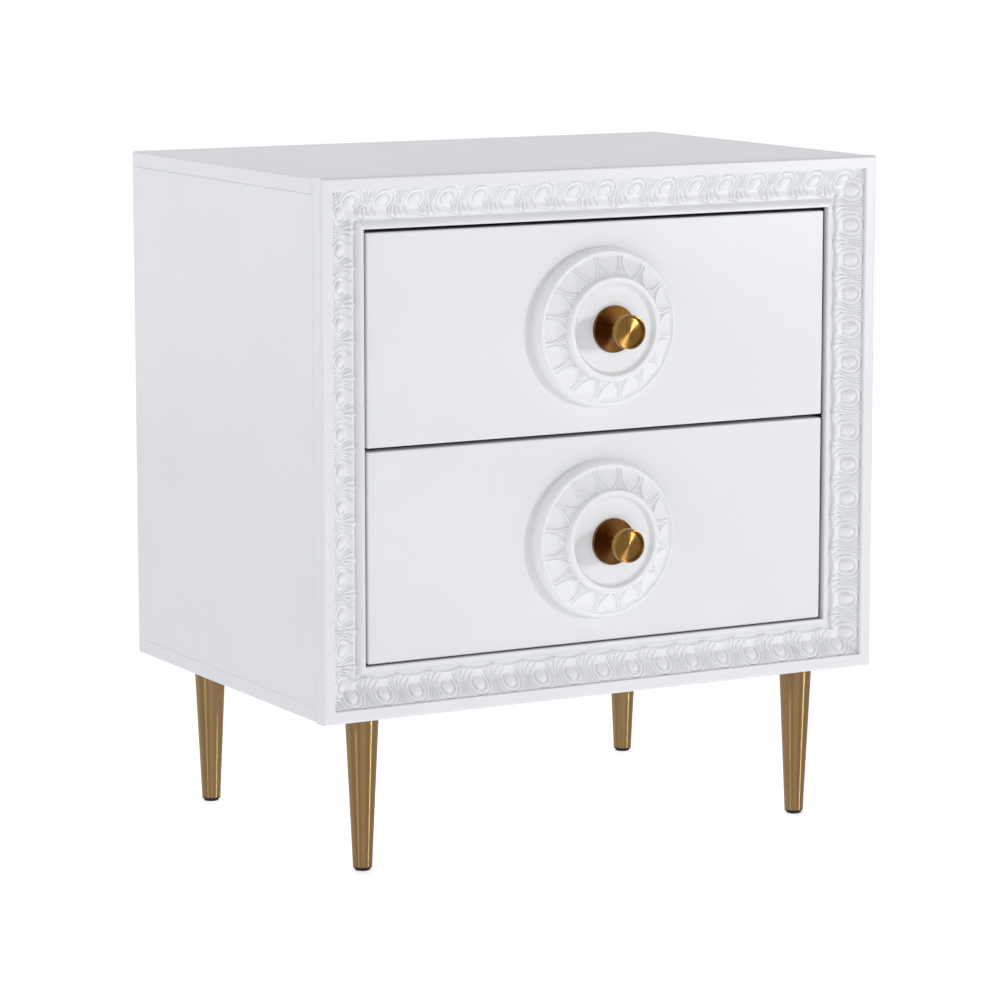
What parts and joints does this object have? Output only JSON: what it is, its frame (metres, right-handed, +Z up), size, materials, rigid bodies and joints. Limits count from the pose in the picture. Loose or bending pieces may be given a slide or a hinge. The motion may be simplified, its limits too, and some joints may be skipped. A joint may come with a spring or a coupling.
{
  "type": "nightstand",
  "caption": "Lacquered nightstand with stacked drawers behind a carved picture-frame front, round medallions with knobs, and tapered metal legs.",
  "frame": {"origin": "on the floor, under the middle of the object measured with its knobs", "axes": "+X to the right seen from the front, +Y to the back, +Z up; the drawers open towards -Y"},
  "size_m": [0.6, 0.4506, 0.65],
  "materials": {
    "lacquer": "cool white satin lacquer on MDF",
    "drawer_board": "clear-lacquered birch plywood",
    "dowel_wood": "plain beech",
    "brass": "brushed antique brass",
    "slide_steel": "bright zinc plate",
    "screw_steel": "zinc plate",
    "black_plastic": "matt moulded"
  },
  "bodies": {
    "case": {"back_panel": "lacquer", "back_panel_screws": "screw_steel", "bottom_panel": "lacquer", "carved_strip_bottom": "lacquer", "carved_strip_left": "lacquer", "carved_strip_right": "lacquer", "carved_strip_top": "lacquer", "case_dowels": "dowel_wood", "frame_rail_bottom": "lacquer", "frame_rail_top": "lacquer", "frame_stile_left": "lacquer", "frame_stile_right": "lacquer", "leg_back_left": "brass", "leg_back_right": "brass", "leg_collars": "black_plastic", "leg_front_left": "brass", "leg_front_right": "brass", "leg_plate_screws": "screw_steel", "leg_plates": "slide_steel", "runner_block_dowels": "dowel_wood", "runner_blocks_lower": "drawer_board", "runner_blocks_upper": "drawer_board", "side_panel_left": "lacquer", "side_panel_right": "lacquer", "slide_cabinet_members_lower": "slide_steel", "slide_cabinet_members_upper": "slide_steel", "slide_cabinet_screws": "screw_steel", "top_panel": "lacquer"},
    "drawer_upper": {"drawer_front_upper": "lacquer", "medallion_upper": "lacquer", "knob_base_upper": "brass", "knob_upper": "brass", "knob_screw_upper": "screw_steel", "drawer_front_screws_upper": "screw_steel", "drawer_side_left_upper": "drawer_board", "drawer_side_right_upper": "drawer_board", "drawer_box_front_upper": "drawer_board", "drawer_box_back_upper": "drawer_board", "drawer_bottom_upper": "drawer_board", "slide_drawer_members_upper": "slide_steel", "slide_drawer_screws_upper": "screw_steel"},
    "drawer_lower": {"drawer_front_lower": "lacquer", "medallion_lower": "lacquer", "knob_base_lower": "brass", "knob_lower": "brass", "knob_screw_lower": "screw_steel", "drawer_front_screws_lower": "screw_steel", "drawer_side_left_lower": "drawer_board", "drawer_side_right_lower": "drawer_board", "drawer_box_front_lower": "drawer_board", "drawer_box_back_lower": "drawer_board", "drawer_bottom_lower": "drawer_board", "slide_drawer_members_lower": "slide_steel", "slide_drawer_screws_lower": "screw_steel"},
    "slide_middle_upper": {"slide_middle_members_upper": "slide_steel"},
    "slide_middle_lower": {"slide_middle_members_lower": "slide_steel"},
    "glide_front_left": {"glide_front_left": "black_plastic"},
    "glide_front_right": {"glide_front_right": "black_plastic"},
    "glide_back_left": {"glide_back_left": "black_plastic"},
    "glide_back_right": {"glide_back_right": "black_plastic"}
  },
  "joints": [
    {"name": "drawer_upper_slide", "type": "slide", "parent": "case", "child": "drawer_upper", "axis": [0, -1, 0], "range_m": [0, 0.35]},
    {"name": "slide_middle_upper_run", "type": "slide", "parent": "case", "child": "slide_middle_upper", "axis": [0, -1, 0], "range_m": [0, 0.175]},
    {"name": "drawer_lower_slide", "type": "slide", "parent": "case", "child": "drawer_lower", "axis": [0, -1, 0], "range_m": [0, 0.35]},
    {"name": "slide_middle_lower_run", "type": "slide", "parent": "case", "child": "slide_middle_lower", "axis": [0, -1, 0], "range_m": [0, 0.175]},
    {"name": "glide_front_left_level", "type": "slide", "parent": "case", "child": "glide_front_left", "axis": [0, 0, -1], "range_m": [0, 0.006]},
    {"name": "glide_front_right_level", "type": "slide", "parent": "case", "child": "glide_front_right", "axis": [0, 0, -1], "range_m": [0, 0.006]},
    {"name": "glide_back_left_level", "type": "slide", "parent": "case", "child": "glide_back_left", "axis": [0, 0, -1], "range_m": [0, 0.006]},
    {"name": "glide_back_right_level", "type": "slide", "parent": "case", "child": "glide_back_right", "axis": [0, 0, -1], "range_m": [0, 0.006]}
  ],
  "couplings": [
    {"joint": "slide_middle_upper_run", "follows": "drawer_upper_slide", "ratio": 0.5},
    {"joint": "slide_middle_lower_run", "follows": "drawer_lower_slide", "ratio": 0.5}
  ]
}
